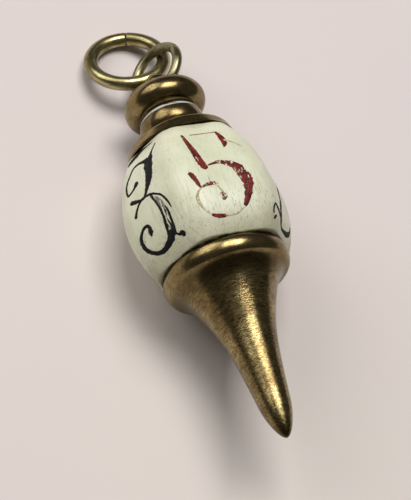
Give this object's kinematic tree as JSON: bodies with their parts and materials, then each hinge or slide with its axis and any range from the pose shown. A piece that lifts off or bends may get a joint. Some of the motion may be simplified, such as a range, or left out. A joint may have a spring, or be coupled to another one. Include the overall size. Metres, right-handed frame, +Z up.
{
  "type": "number top fob",
  "caption": "Six-sided bone number top with a turned brass point, collar and knob, hung by two linked brass jump rings; spins on its point to pick a number",
  "frame": {"origin": "middle of the bounding box in X and Y, on the floor the top lies on", "axes": "+Z up; the point is towards -Y and the rings towards +Y; +X is to the right when looking along +Y"},
  "size_m": [0.0222, 0.068, 0.0205],
  "materials": {
    "point_brass": "satin, fine turning lines",
    "bone": "satin, fine fibre streaks, painted numerals",
    "spindle_brass": "satin",
    "collar_brass": "satin, fine turning lines",
    "knob_brass": "satin, fine turning lines",
    "small_ring_brass": "dull satin",
    "large_ring_brass": "satin"
  },
  "bodies": {
    "top": {"point": "point_brass", "bone_barrel": "bone", "spindle": "spindle_brass", "collar": "collar_brass", "knob": "knob_brass"},
    "small_ring": {"small_ring": "small_ring_brass"},
    "large_ring": {"large_ring": "large_ring_brass"}
  },
  "joints": [
    {"name": "eye_swing", "type": "hinge", "parent": "top", "child": "small_ring", "pos_m": [0, 0.02037, 0.00735], "axis": [0.6121, 0.1027, 0.7841], "range_deg": [-35, 40]},
    {"name": "ring_travel", "type": "hinge", "parent": "small_ring", "child": "large_ring", "pos_m": [0.00085, 0.02414, 0.00619], "axis": [-0.7623, 0.3404, 0.5505], "range_deg": [-70, 3]}
  ]
}
